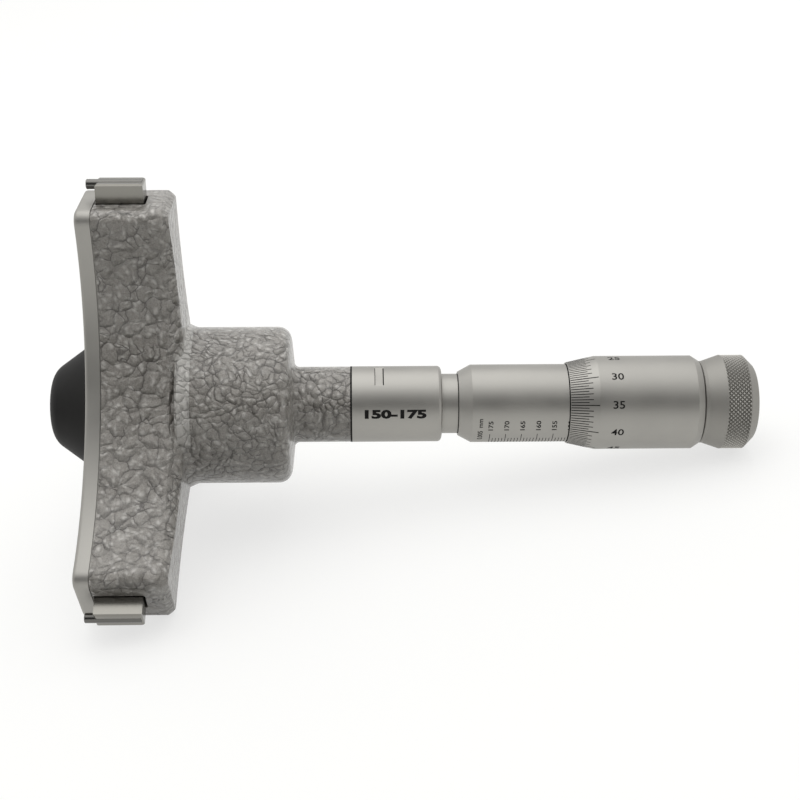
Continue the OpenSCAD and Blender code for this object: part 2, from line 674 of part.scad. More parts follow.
lying() head_casting();
lying() cover_plate();
lying() cover_screws();
lying() nose_cap();
lying() guide_bush(1);  // guide_bush_1
lying() guide_bush(2);  // guide_bush_2
lying() guide_bush(3);  // guide_bush_3
lying() plunger(1);  // plunger_1
lying() plunger(2);  // plunger_2
lying() plunger(3);  // plunger_3
lying() retaining_clip(1);  // retaining_clip_1
lying() retaining_clip(2);  // retaining_clip_2
lying() retaining_clip(3);  // retaining_clip_3
lying() return_spring(1);  // return_spring_1
lying() return_spring(2);  // return_spring_2
lying() return_spring(3);  // return_spring_3
lying() jaw(1);  // jaw_1
lying() jaw(2);  // jaw_2
lying() jaw(3);  // jaw_3
lying() contact_pin(1);  // contact_pin_1
lying() contact_pin(2);  // contact_pin_2
lying() contact_pin(3);  // contact_pin_3
lying() measuring_cone();
lying() thrust_ball();
lying() adapter_sleeve();
lying() inner_sleeve();
lying() scale_sleeve();
lying() adjusting_nut();
lying() measuring_screw();
lying() thimble();
lying() ratchet_hub();
lying() ratchet_ring();
lying() ratchet_spring();
lying() ratchet_screw();
lying() ratchet_knob();
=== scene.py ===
# %% [markdown]
# # A three-point inside micrometer
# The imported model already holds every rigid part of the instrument, in metres and in its place.
# This lesson dresses it: hammertone enamel on the casting, satin chrome on the handle, engraved
# scales, a diamond knurl on the knob, and then table, light and camera.
#
# The parts could all be modelled again here, but they are exact already. So their shapes stay,
# and only what a lathe, a paint gun or an engraver adds on top is made new.

import json
import math

import bmesh
import bpy
from mathutils import Matrix, Vector

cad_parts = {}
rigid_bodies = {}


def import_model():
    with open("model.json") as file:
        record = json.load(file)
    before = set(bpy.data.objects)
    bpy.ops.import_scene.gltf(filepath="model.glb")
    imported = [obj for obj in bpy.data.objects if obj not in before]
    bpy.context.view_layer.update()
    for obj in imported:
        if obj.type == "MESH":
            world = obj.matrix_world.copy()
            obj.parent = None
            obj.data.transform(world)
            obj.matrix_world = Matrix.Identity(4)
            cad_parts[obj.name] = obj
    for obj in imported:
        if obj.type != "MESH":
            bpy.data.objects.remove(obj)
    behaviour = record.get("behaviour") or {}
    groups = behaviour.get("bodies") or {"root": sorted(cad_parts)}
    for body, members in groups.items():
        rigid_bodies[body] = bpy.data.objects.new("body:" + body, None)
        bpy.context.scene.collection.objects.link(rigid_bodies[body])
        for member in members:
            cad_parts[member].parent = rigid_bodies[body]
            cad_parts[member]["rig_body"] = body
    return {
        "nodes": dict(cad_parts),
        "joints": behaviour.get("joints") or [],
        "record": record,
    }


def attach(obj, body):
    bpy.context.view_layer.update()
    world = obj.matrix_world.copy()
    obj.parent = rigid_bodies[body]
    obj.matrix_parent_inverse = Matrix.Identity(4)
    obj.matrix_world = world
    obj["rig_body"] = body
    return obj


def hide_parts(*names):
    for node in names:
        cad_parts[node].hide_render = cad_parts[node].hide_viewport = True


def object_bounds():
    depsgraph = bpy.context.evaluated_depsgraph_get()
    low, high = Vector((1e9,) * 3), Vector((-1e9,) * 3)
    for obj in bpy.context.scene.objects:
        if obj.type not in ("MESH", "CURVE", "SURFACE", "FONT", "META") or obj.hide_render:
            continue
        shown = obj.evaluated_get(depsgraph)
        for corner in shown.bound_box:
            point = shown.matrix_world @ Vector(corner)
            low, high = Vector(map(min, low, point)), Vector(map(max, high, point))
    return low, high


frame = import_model()
nodes = frame["nodes"]
bpy.context.view_layer.update()
cad_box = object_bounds()
print("nodes:", len(nodes), "box in mm:", [round((b - a) * 1000, 1) for a, b in zip(*cad_box)])

# %% [markdown]
# ## Where the spindle points
# The instrument lies on a table, on two arms and on the knob's rim, so its spindle axis dips a few
# degrees. It is easier to think along the spindle: X from nose to knob, Z towards the upper arm.
# The slide joint of the measuring cone says where the axis points, and one rotation turns what is
# made along the spindle into the lying position.

# %% The spindle axis
MM = 0.001
forward = Vector(next(j["axis"] for j in frame["joints"] if j["name"] == "cone_advance"))
dip = math.atan2(forward.z, -forward.x)
lay_down = Matrix.Rotation(dip, 4, "Y")
print("the spindle axis dips by", round(math.degrees(dip), 3), "degrees")

# %% [markdown]
# ## Helpers for finishes
# Colours are picked as sRGB hex values, as on a paint card, while Blender computes with linear
# light, so one function turns them. A second one adds a shader node with its settings and links,
# so that each finish below reads as a list of what goes into what.
#
# Patterns are drawn in Object coordinates, turned to the spindle and counted in millimetres. All
# pieces share one origin, so a pattern runs on from one piece to the next.

# %% Helpers for finishes
smooth = {"interpolation_type": "SMOOTHSTEP"}  # lets a Map Range ease in and out


def linear(code, share=1.0):
    """Linear colour of an sRGB hex value such as "#808080", its brightness times a share."""
    parts = [int(code[i:i + 2], 16) / 255 for i in (1, 3, 5)]
    light = [p / 12.92 if p <= 0.04045 else ((p + 0.055) / 1.055) ** 2.4 for p in parts]
    return (*(share * p for p in light), 1.0)


def add(tree, kind, inputs=None, stops=(), **settings):
    """Adds a shader node. inputs maps a socket to a value, an output, or a node for its first
    output. stops are the (position, colour) pairs of a colour ramp."""
    made = tree.nodes.new("ShaderNode" + kind)
    for name, value in settings.items():
        setattr(made, name, value)
    for socket, value in (inputs or {}).items():
        if isinstance(value, bpy.types.Node):
            value = next(output for output in value.outputs if not output.is_unavailable)
        if isinstance(value, bpy.types.NodeSocket):
            tree.links.new(value, made.inputs[socket])
        else:
            made.inputs[socket].default_value = value
    for i, (position, colour) in enumerate(stops):
        if i == len(made.color_ramp.elements):
            made.color_ramp.elements.new(position)
        made.color_ramp.elements[i].position = position
        made.color_ramp.elements[i].color = colour
    return made


def finish_named(name, looks):
    """A new material whose Principled shader has these looks."""
    material = bpy.data.materials.new(name)
    material.use_nodes = True
    tree = material.node_tree
    tree.nodes.clear()
    shader = add(tree, "BsdfPrincipled", looks)
    add(tree, "OutputMaterial", {"Surface": shader})
    return material, tree, shader


def along_spindle(tree, unit_mm):
    """Object coordinates turned to the spindle axis, counted in units of these millimetres."""
    place = add(tree, "TexCoord").outputs["Object"]
    return add(tree, "Mapping", {"Vector": place, "Rotation": (0, dip, 0),
                                 "Scale": [u * MM for u in unit_mm]}, vector_type="TEXTURE")


print("middle grey is linear", round(linear("#808080")[0], 4))

# %% [markdown]
# ## Hammertone enamel
# The casting is sprayed with hammertone: an enamel full of fine aluminium flake with a little
# silicone, which pulls the wet paint into rounded cells, nearly four millimetres wide on the flat
# arms and under three on the round boss. The eye sees a soft grey relief with a faint gloss.
#
# A picture of paint would look right from one side only, while a pattern in space wraps round
# every edge. So the cells are a Voronoi pattern: each is a dome that falls with the square of the
# distance from its centre, and neighbours meet in a valley. Noise bends the pattern twice, once
# in wide sweeps and once finely, so that no valley is straight.

# %% Cells of the enamel
arm_cell, boss_cell = 3.8, 2.7
boss_from, boss_full = 9.0, 12.0  # along the spindle, where the cells change from one to the other
wide_bend, fine_bend = (0.11, 6.0, 1.0), (0.55, 1.2, 1.5)  # waves per mm, reach in mm, detail


def cushions(tree, place, cell_mm):
    """Cells of this width: distance from the border, height of the dome, each cell's own level."""
    edge = add(tree, "TexVoronoi", {"Vector": place, "Scale": 1 / cell_mm}, feature="DISTANCE_TO_EDGE")
    near = add(tree, "TexVoronoi", {"Vector": place, "Scale": 1 / cell_mm}, feature="F1").outputs
    fall = add(tree, "Math", {0: near["Distance"], 1: near["Distance"]}, operation="MULTIPLY")
    dome = add(tree, "Math", {0: fall, 1: -1.6, 2: 1.0}, operation="MULTIPLY_ADD")
    level = add(tree, "SeparateColor", {"Color": near["Color"]})
    return edge, dome, level.outputs["Red"]


paint, tree, enamel = finish_named("Hammertone enamel", {"Metallic": 0.2, "Roughness": 0.38,
                                                         "Coat Weight": 0.5, "Coat Roughness": 0.1})
place = along_spindle(tree, (1, 1, 1))
bent = place
for per_mm, reach_mm, detail in (wide_bend, fine_bend):
    bend = add(tree, "TexNoise", {"Vector": place, "Scale": per_mm, "Detail": detail}).outputs["Color"]
    shift = add(tree, "VectorMath", {0: bend, 1: (0.5, 0.5, 0.5)}, operation="SUBTRACT")
    push = add(tree, "VectorMath", {0: shift, "Scale": reach_mm}, operation="SCALE")
    bent = add(tree, "VectorMath", {0: bent, 1: push}, operation="ADD")
coarse = cushions(tree, bent, arm_cell)
fine = cushions(tree, bent, boss_cell)
along = add(tree, "SeparateXYZ", {"Vector": place}).outputs
on_boss = add(tree, "MapRange", {"Value": along["X"], "From Min": boss_from,
                                 "From Max": boss_full}, **smooth)
border, dome, level = (add(tree, "Mix", {"Factor": on_boss, "A": arm, "B": boss})
                       for arm, boss in zip(coarse, fine))
print("enamel cells in mm:", arm_cell, "on the arms,", boss_cell, "on the boss")

# %% [markdown]
# ### Dark seams and pale drops
# The flake tints the grey a little everywhere. In places the valleys between the cells are painted
# dark, a painted shade of the creases, and a slow noise says in which. Smaller cells of about two
# millimetres set pale drops on the domes: small bubbles in the paint, with a painted highlight on
# their tops. The rim of the pad at the foot of the boss has a painted highlight, paler where it faces
# up: within 2.2 mm of its place along the spindle, and inside the pad's radius.

# %% Colour of the enamel
drop_cell = 2.1
pad_rim_x, pad_rim_half = 14.7, 2.2
pad_rim_r, beyond_rim_r = 27.0, 27.8
highlight_from_z, highlight_full_z, highlight_share = -6.0, 8.0, 0.6

flake = add(tree, "TexNoise", {"Vector": place, "Scale": 2.4, "Detail": 4.0, "Roughness": 0.7})
body = add(tree, "ValToRGB", {"Fac": flake},
           stops=[(0.3, linear("#827e79")), (0.5, linear("#96928c")), (0.7, linear("#aaa69f"))])
drops = add(tree, "TexVoronoi", {"Vector": bent, "Scale": 1 / drop_cell}, feature="F1")
# Pale spots on the small domes: bubbles in the paint, partly a painted highlight on their tops.
thick = add(tree, "MapRange", {"Value": drops, "From Min": 0.08, "From Max": 0.5,
                               "To Min": 0.6, "To Max": 0.0}, **smooth)
tone = add(tree, "Mix", {"Factor": thick, "A": body, "B": linear("#d8d5d0")}, data_type="RGBA")

across = add(tree, "VectorMath", {0: place, 1: (0, 1, 1)}, operation="MULTIPLY")
radius = add(tree, "VectorMath", {0: across}, operation="LENGTH")
# Painted highlight: the pad's rim is made paler towards its upper side, in place of the light it catches.
at_rim = add(tree, "Math", {0: along["X"], 1: pad_rim_x, 2: pad_rim_half}, operation="COMPARE")
within = add(tree, "MapRange", {"Value": radius, "From Min": pad_rim_r, "From Max": beyond_rim_r,
                                "To Min": 1.0, "To Max": 0.0}, **smooth)
facing_up = add(tree, "MapRange", {"Value": along["Z"], "From Min": highlight_from_z,
                                   "From Max": highlight_full_z, "To Max": highlight_share}, **smooth)
pad_highlight = add(tree, "Math", {0: within, 1: at_rim}, operation="MULTIPLY")
pad_highlight = add(tree, "Math", {0: facing_up, 1: pad_highlight}, operation="MULTIPLY")
tone = add(tree, "Mix", {"Factor": pad_highlight, "A": tone, "B": linear("#dddbd6")}, data_type="RGBA")

# Painted shade: the valleys between the cells are coloured dark, in patches set by a slow noise.
wander = add(tree, "TexNoise", {"Vector": place, "Scale": 0.16, "Detail": 2.0})
shade_patches = add(tree, "MapRange", {"Value": wander, "From Min": 0.46, "From Max": 0.6,
                                "To Max": 0.7}, **smooth)
valley = add(tree, "MapRange", {"Value": border, "From Max": 0.06,
                                "To Min": 1.0, "To Max": 0.0}, **smooth)
seam_shade = add(tree, "Math", {0: valley, 1: shade_patches}, operation="MULTIPLY")
tone = add(tree, "Mix", {"Factor": seam_shade, "A": tone, "B": linear("#4e4a47")}, data_type="RGBA")
tree.links.new(tone.outputs["Result"], enamel.inputs["Base Color"])
print("enamel nodes with its colour:", len(tree.nodes))

# %% [markdown]
# ### Relief
# The relief could be real geometry, but cells this small would take millions of faces, and at the
# photo's distance they show by their shading only. So all heights are added up into one Bump: the
# domes, a swell that differs from cell to cell, hollows between the drops, the grit of the flake
# and a dip in the seams.

# %% Relief of the enamel
relief = 1.7 * MM

dome_share = add(tree, "Mix", {"Factor": on_boss, "A": 0.75, "B": 0.6})
height = add(tree, "Math", {0: dome, 1: dome_share}, operation="MULTIPLY")
swell = add(tree, "Math", {0: level, 1: 0.5, 2: 0.1}, operation="MULTIPLY_ADD")
flank = add(tree, "MapRange", {"Value": border, "From Max": 0.2}, **smooth)
rise = add(tree, "Math", {0: flank, 1: swell}, operation="MULTIPLY")
for part, share in ((rise, 0.22), (drops, -0.28), (flake, 0.14), (seam_shade, -0.06)):
    height = add(tree, "Math", {0: part, 1: share, 2: height}, operation="MULTIPLY_ADD")
bump = add(tree, "Bump", {"Height": height, "Strength": 1.0, "Distance": relief})
tree.links.new(bump.outputs["Normal"], enamel.inputs["Normal"])
print("enamel nodes:", len(tree.nodes))

# %% [markdown]
# ## Satin chrome and turned steel
# The handle is turned steel with satin chrome: blasted fine before plating, so it reflects softly,
# with the faintest trace of the lathe round the axis. Steel parts differ only in tone, roughness
# and in how strong those turned rings are, so one recipe takes these as settings.
#
# The rings are a noise that is short along the spindle and long across it. The grain of the
# blasting, about 0.05 mm, is finer than a pixel and is drawn at 0.12 mm. A slow noise of 14 mm
# stands for the wear of hands, in tone and in roughness.

# %% Satin and turned metals
ring_mm, grain_mm, wear_mm = (0.22, 30, 30), (0.12, 0.12, 0.12), (14, 14, 14)


def turned_metal(name, tone, roughness, ring=0.25, grain=0.35, spread=0.06):
    """A metal with rings of the lathe, grain and a spread of roughness by wear."""
    material, tree, shader = finish_named(name, {"Metallic": 1.0})
    rings = add(tree, "TexNoise", {"Vector": along_spindle(tree, ring_mm), "Scale": 1.0, "Detail": 2.0})
    speckle = add(tree, "TexNoise", {"Vector": along_spindle(tree, grain_mm), "Scale": 1.0, "Detail": 1.0})
    wear = add(tree, "TexNoise", {"Vector": along_spindle(tree, wear_mm), "Scale": 1.0, "Detail": 3.0})
    colour = add(tree, "ValToRGB", {"Fac": wear},
                 stops=[(0.3, linear(tone, share=0.94)), (0.7, linear(tone, share=1.05))])
    tree.links.new(colour.outputs["Color"], shader.inputs["Base Color"])
    rough = add(tree, "MapRange", {"Value": wear, "From Min": 0.3, "From Max": 0.7,
                                   "To Min": roughness - spread / 2, "To Max": roughness + spread / 2})
    tree.links.new(rough.outputs["Result"], shader.inputs["Roughness"])
    marks = add(tree, "Math", {0: rings, 1: ring}, operation="MULTIPLY")
    marks = add(tree, "Math", {0: speckle, 1: grain, 2: marks}, operation="MULTIPLY_ADD")
    bump = add(tree, "Bump", {"Height": marks, "Strength": 0.35, "Distance": 0.02 * MM})
    tree.links.new(bump.outputs["Normal"], shader.inputs["Normal"])
    return material


satin_chrome = turned_metal("Satin chrome", "#a6a49f", 0.49)
satin_plate = turned_metal("Satin steel plate", "#a3a19c", 0.52, ring=0.5)
hard_steel = turned_metal("Ground hardened steel", "#898781", 0.22, ring=0.6)
carbide = turned_metal("Ground carbide", "#6a6966", 0.22, grain=0.1)
zinc_steel = turned_metal("Zinc-plated steel", "#a5a4a0", 0.35)
spring_steel = turned_metal("Drawn spring steel", "#a9a9ab", 0.3, grain=0.1)
bronze = turned_metal("Bearing bronze", "#b08a4e", 0.35, ring=0.6)
metals = (satin_chrome, satin_plate, hard_steel, carbide, zinc_steel, spring_steel, bronze)
print("metals:", [metal.name for metal in metals])

# %% [markdown]
# ## The black nose cap
# The cap is steel with a matt black oxide, or a moulded cap: near black, without gloss and with a
# very fine tooth. A flat black would look like a hole in the picture. A base that is not quite
# black, a soft specular and a tooth of 0.15 mm keep its roundness to be seen.

# %% Matt black
tooth_mm, haze_mm = (0.15, 0.15, 0.15), (9, 9, 9)


def matt_black():
    material, tree, shader = finish_named("Matt black cap", {"Roughness": 0.6, "IOR": 1.3})
    tooth = add(tree, "TexNoise", {"Vector": along_spindle(tree, tooth_mm), "Scale": 1.0, "Detail": 2.0})
    haze = add(tree, "TexNoise", {"Vector": along_spindle(tree, haze_mm), "Scale": 1.0, "Detail": 3.0})
    colour = add(tree, "ValToRGB", {"Fac": haze},
                 stops=[(0.3, linear("#151413")), (0.7, linear("#1e1d1c"))])
    tree.links.new(colour.outputs["Color"], shader.inputs["Base Color"])
    bump = add(tree, "Bump", {"Height": tooth, "Strength": 0.3, "Distance": 0.03 * MM})
    tree.links.new(bump.outputs["Normal"], shader.inputs["Normal"])
    return material


black_cap = matt_black()
print("cap finish:", black_cap.name)

# %% [markdown]
# ## Which part has which finish
# A CAD node keeps its mesh, and only its material slot is filled. The record's slots tell which
# finish belongs to which node. The knob's own node gives way to the knurled one made below, so
# its finish here never shows.

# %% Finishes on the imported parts
finishes = {
    "hammertone_paint": paint, "satin_plate": satin_plate, "satin_chrome": satin_chrome,
    "knurled_chrome": satin_chrome, "black_cap": black_cap, "hardened_steel": hard_steel,
    "carbide": carbide, "bronze": bronze, "spring_steel": spring_steel, "screw_steel": zinc_steel,
}
slot_of = {part["node"]: part["material_slot"] for part in frame["record"]["subparts"]}
for node_name, slot_name in slot_of.items():
    for held in nodes[node_name].material_slots:
        held.material = finishes[slot_name]
print("finished nodes:", len(slot_of))

# %% [markdown]
# ## Smooth skins for the lofted parts
# Casting, cover plate and springs are lofts of flat facets. Real castings have no facets, so each
# gets a copy whose points are merged and whose shading is smooth across every edge that is less
# than 25 degrees sharp. Moving the points would change the casting, while shading only bends the
# light.

# %% Smooth copies
lofted = ("head_casting", "cover_plate", "return_spring_1", "return_spring_2", "return_spring_3",
          "ratchet_spring")
sharp_angle = math.radians(25)


def smooth_copy(node_name, piece_name):
    """A merged, smoothly shaded copy that stands for a CAD node."""
    source = nodes[node_name]
    mesh = source.data.copy()
    mesh.name = piece_name
    shape = bmesh.new()
    shape.from_mesh(mesh)
    bmesh.ops.remove_doubles(shape, verts=shape.verts, dist=0.002 * MM)
    shape.to_mesh(mesh)
    shape.free()
    if mesh.has_custom_normals:
        mesh.attributes.remove(mesh.attributes["custom_normal"])
    mesh.shade_smooth()
    mesh.set_sharp_from_angle(angle=sharp_angle)
    piece = bpy.data.objects.new(piece_name, mesh)
    bpy.context.collection.objects.link(piece)
    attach(piece, source["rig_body"])
    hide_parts(node_name)
    return piece


for node_name in lofted:
    skin = smooth_copy(node_name, node_name + "_skin")
    print(skin.name, len(skin.data.polygons), "faces")

# %% [markdown]
# ## Engraved scales
# The lines of the scales are cut into sleeve and thimble and wiped with black paint, which dries
# dull and a little uneven. Cut grooves would need a mesh much finer than the rest, and at 0.2 to
# 0.3 mm wide nobody sees their depth. So each line is a thin strip of paint that lies on the
# metal, bent with the cylinder.

# %% Paint in the engraved lines
def marking_black():
    material, tree, shader = finish_named("Engraving paint and painted shade", {"Roughness": 0.8, "IOR": 1.35})
    place = along_spindle(tree, (0.5, 0.5, 0.5))
    uneven = add(tree, "TexNoise", {"Vector": place, "Scale": 1.0, "Detail": 2.0})
    colour = add(tree, "ValToRGB", {"Fac": uneven},
                 stops=[(0.3, linear("#0c0b0b")), (0.7, linear("#1c1b1a"))])
    tree.links.new(colour.outputs["Color"], shader.inputs["Base Color"])
    return material


# The same black also paints the shade in the joints and under the thimble's edge.
ink_and_shade = marking_black()
print("marks are made with:", ink_and_shade.name)

# %% [markdown]
# ### Drawing flat and laying round
# A strip or a digit is first drawn flat: X runs along the spindle and Y runs round it. wrap() then
# lays it on a turned surface, where the angle is Y divided by the radius. Angles are counted up
# from the side that faces the camera, 27 degrees above the level.
#
# Blender fills a digit with few, long faces, which would cut through the cylinder when bent. So
# bisect_plane first cuts them into bands of 0.3 mm at most.

# %% Laying marks on a turned surface
facing = math.radians(27)
paint_t = 0.012 * MM
band_w = 0.3 * MM
figure_share = 0.73  # height of a figure in a font of size 1


def wrap(shape, at_x, at_angle, radius):
    """Bends a flat drawing round the spindle. radius is a function of the place along it."""
    for point in shape.verts:
        x = at_x + point.co.x
        r = radius(x)
        angle = facing + math.radians(at_angle) + point.co.y / r
        lift = r + point.co.z
        point.co = Vector((x, -lift * math.cos(angle), lift * math.sin(angle)))


def strip(x0, x1, y0, y1, segments=1):
    """A flat strip of paint with its underside just below the metal."""
    shape = bmesh.new()
    bmesh.ops.create_cube(shape, size=1)
    size = Vector((x1 - x0, y1 - y0, 2 * paint_t))
    middle = Vector(((x0 + x1) / 2, (y0 + y1) / 2, 0))
    bmesh.ops.scale(shape, vec=size, verts=shape.verts)
    bmesh.ops.translate(shape, vec=middle, verts=shape.verts)
    if segments > 1:
        across = [e for e in shape.edges if abs(e.verts[0].co.y - e.verts[1].co.y) > size.y / 2]
        bmesh.ops.subdivide_edges(shape, edges=across, cuts=segments - 1, use_grid_fill=True)
    return shape


def lettering(text, height, bold):
    """Centred figures of this height, as thick as the paint, as a mesh."""
    curve = bpy.data.curves.new("lettering", "FONT")
    curve.body = text
    curve.size = height / figure_share
    curve.align_x = "CENTER"
    curve.align_y = "CENTER"
    curve.offset = bold
    curve.extrude = paint_t
    curve.resolution_u = 3
    drawn = bpy.data.objects.new("lettering", curve)
    bpy.context.collection.objects.link(drawn)
    bpy.context.view_layer.update()
    mesh = bpy.data.meshes.new_from_object(drawn)
    bpy.data.objects.remove(drawn)
    bpy.data.curves.remove(curve)
    return mesh


def digits(text, height, turn=0.0, bold=0.0, stretch=1.0):
    """A flat drawing of figures, stretched and turned, and cut into bands that can bend."""
    mesh = lettering(text, height, bold)
    shape = bmesh.new()
    shape.from_mesh(mesh)
    bpy.data.meshes.remove(mesh)
    bmesh.ops.remove_doubles(shape, verts=shape.verts, dist=0.001 * MM)
    bmesh.ops.scale(shape, vec=(stretch, 1, 1), verts=shape.verts)
    turned = Matrix.Rotation(math.radians(turn), 3, "Z")
    bmesh.ops.rotate(shape, cent=(0, 0, 0), matrix=turned, verts=shape.verts)
    reach = max(abs(p.co.y) for p in shape.verts)
    cuts = math.ceil(reach / band_w)
    for i in range(-cuts + 1, cuts):
        bmesh.ops.bisect_plane(shape, geom=shape.verts[:] + shape.edges[:] + shape.faces[:],
                               plane_co=(0, reach * i / cuts, 0), plane_no=(0, 1, 0))
    return shape


def gather(shapes, name, body, material):
    """Joins finished drawings into one piece that rides on a body."""
    mesh = bpy.data.meshes.new(name)
    whole = bmesh.new()
    for shape in shapes:
        part = bpy.data.meshes.new("part")
        shape.to_mesh(part)
        shape.free()
        whole.from_mesh(part)
        bpy.data.meshes.remove(part)
    bmesh.ops.transform(whole, matrix=lay_down, verts=whole.verts)
    bmesh.ops.recalc_face_normals(whole, faces=whole.faces)
    whole.to_mesh(mesh)
    whole.free()
    mesh.materials.append(material)
    piece = bpy.data.objects.new(name, mesh)
    bpy.context.collection.objects.link(piece)
    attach(piece, body)
    return piece


print("paint stands", paint_t / MM, "mm out of the metal")

# %% [markdown]
# ### The sleeve
# A base line runs along the sleeve, with a mark for every millimetre of bore diameter and a longer,
# numbered one for every five. The screw moves exactly one millimetre for each, so the marks are a
# millimetre apart, and at rest the thimble's edge stands at 150.

# %% Sleeve scale
sleeve_r = 12.4 * MM
thimble_edge_x = 134.2 * MM
smallest, largest = 150, 175
base_angle, short_angle, long_angle, number_angle = -111.7, -63, -52, -36.5
base_len = 26.2 * MM
line_w = 0.2 * MM
unit_x, unit_angle = 106.2 * MM, -45


def on_sleeve(x):
    return sleeve_r


def arc_strip(x, width, from_angle, to_angle, radius):
    """A line of paint round the spindle at x, between two angles."""
    steps = max(2, round(abs(to_angle - from_angle) / 4))
    shape = strip(-width / 2, width / 2, 0, math.radians(to_angle - from_angle) * radius(x), steps)
    wrap(shape, x, from_angle, radius)
    return shape


marks = []
for diameter in range(smallest, largest + 1):
    mark_x = thimble_edge_x - (diameter - smallest) * MM
    numbered = diameter % 5 == 0
    end_angle = long_angle if numbered else short_angle
    marks.append(arc_strip(mark_x, line_w, base_angle, end_angle, on_sleeve))
    if numbered:
        number = digits(str(diameter), 1.5 * MM, turn=90, bold=0.04 * MM, stretch=1.35)
        wrap(number, mark_x + 0.25 * MM, number_angle, on_sleeve)
        marks.append(number)
base = strip(-base_len, 0.0, -line_w / 2, line_w / 2)
wrap(base, thimble_edge_x, base_angle, on_sleeve)
marks.append(base)
unit = digits("0.005  mm", 1.6 * MM, turn=90, bold=0.03 * MM)
wrap(unit, unit_x, unit_angle, on_sleeve)
marks.append(unit)
sleeve_scale = gather(marks, "sleeve_scale_marks", "frame", ink_and_shade)
print("sleeve marks:", len(sleeve_scale.data.polygons), "faces")

# %% [markdown]
# ### The thimble
# One turn moves the jaws by half a millimetre of diameter. The bevel carries a hundred lines, so each
# stands for 0.005 mm, in three lengths, and every tenth line has a number. A dark ring of paint runs
# round the sleeve under the thimble's edge, a painted shade of the gap there, and it travels with the
# thimble.

# %% Thimble scale
bevel_end_x = 143.2 * MM
bevel_front_r = 12.9 * MM
thimble_r = 14.9 * MM
lines_per_turn, numbers_per_turn = 100, 50
front_number, front_angle = 35, -3.7
tenth_len, whole_len, half_len = (v * MM for v in (8.75, 6.9, 5.6))
tenth_w, other_w = 0.3 * MM, 0.26 * MM
number_x = thimble_edge_x + 14.75 * MM


def on_thimble(x):
    share = min(1.0, max(0.0, (x - thimble_edge_x) / (bevel_end_x - thimble_edge_x)))
    return bevel_front_r + (thimble_r - bevel_front_r) * share


lines = []
for step in range(lines_per_turn):
    value = step * numbers_per_turn / lines_per_turn
    tenth = value % 5 == 0
    length = tenth_len if tenth else whole_len if value == int(value) else half_len
    width = tenth_w if tenth else other_w
    angle = front_angle - (value - front_number) * 360 / numbers_per_turn
    line = strip(0.12 * MM, length, -width / 2, width / 2)
    wrap(line, thimble_edge_x, angle, on_thimble)
    lines.append(line)
    if tenth:
        number = digits(str(int(value)), 2.5 * MM, bold=0.05 * MM, stretch=1.18)
        wrap(number, number_x, angle, on_thimble)
        lines.append(number)
# Painted shade: a dark ring round the sleeve under the thimble's edge, where the gap lies in shade.
lines.append(arc_strip(thimble_edge_x - 0.12 * MM, 0.4 * MM, 0, 360, on_sleeve))
thimble_scale = gather(lines, "thimble_scale_marks", "thimble_group", ink_and_shade)
print("thimble marks:", len(thimble_scale.data.polygons), "faces")

# %% [markdown]
# ### The range on the adapter
# The measuring range is printed in wide, heavy figures, larger than those of the scales. The same
# digits() makes them, with more offset for the weight and more stretch for the width.

# %% Range figures
adapter_r = 12.05 * MM
range_x, range_angle = 79.1 * MM, -16.5


def on_adapter(x):
    return adapter_r


figures = digits("150-175", 2.65 * MM, bold=0.19 * MM, stretch=1.68)
ends = [point.co.x for point in figures.verts]
print("range figures are", round((max(ends) - min(ends)) / MM, 1), "mm long")
wrap(figures, range_x, range_angle, on_adapter)
range_marks = gather([figures], "range_figures", "frame", ink_and_shade)
print("range figures:", len(range_marks.data.polygons), "faces")

# %% [markdown]
# ### Joints
# Where neck, adapter and scale sleeve meet, the fine gaps lie in shade, and so do the corners of the
# spanner flats. Dark strips of paint are painted shade there: two rings round the spindle, and two
# straight strips on the floor of each flat.

# %% Joints
neck_joint_x, neck_joint_w = 65.68 * MM, 0.55 * MM
sleeve_joint_x, sleeve_joint_w, waist_r = 99.36 * MM, 0.26 * MM, 9.5 * MM
flat_x, flat_w, flat_r, flat_turn = 74.5 * MM, 2.9 * MM, 11.15 * MM, 13
film_half_len = 4.2 * MM


def on_waist(x):
    return waist_r


# Painted shade: dark rings in the joints and dark strips in the corners of the spanner flats.
films = [arc_strip(neck_joint_x, neck_joint_w, 0, 360, on_adapter),
         arc_strip(sleeve_joint_x, sleeve_joint_w, 0, 360, on_waist)]
for side, width in ((-1, 0.2 * MM), (1, 0.34 * MM)):
    for turn in (flat_turn, flat_turn + 180):
        film = strip(-width / 2, width / 2, -film_half_len, film_half_len)
        corner = (flat_x + side * (flat_w - width) / 2, 0, flat_r)
        bmesh.ops.translate(film, vec=corner, verts=film.verts)
        around = Matrix.Rotation(math.radians(turn), 3, "X")
        bmesh.ops.rotate(film, cent=(0, 0, 0), matrix=around, verts=film.verts)
        films.append(film)
joints = gather(films, "joint_painted_shade", "frame", ink_and_shade)
print("joint films:", len(films), "with", len(joints.data.polygons), "faces")

# %% [markdown]
# ## The knurled knob
# A diamond knurl is rolled into the knob's rim by two crossing sets of grooves, here about 1.3 mm
# apart round the knob as well as along it. On a grid whose rows and columns are half a diamond
# apart, every other point is the tip of a pyramid and the rest are where two grooves cross. So the
# knob is spun from its profile, the crossing points of the band sink by the groove depth, and each
# face is split along its groove. A narrow plain ring on either side keeps the smooth slopes smooth.

# %% Profile of the knob
knob_x, flare_x, knurl_x, rim_x, knob_end_x = (v * MM for v in (176.6, 177.8, 183.4, 190.4, 193.7))
knob_front_r, knob_r, knob_end_r = (v * MM for v in (13.1, 15.05, 11.9))
knob_bore_r, head_bore_r, shank_bore_r = (v * MM for v in (10.7, 4.7, 2.0))
floor_x, head_x = 186.0 * MM, 189.2 * MM
diamonds, rows, groove = 71, 10, 0.5 * MM
margin = 0.12 * MM

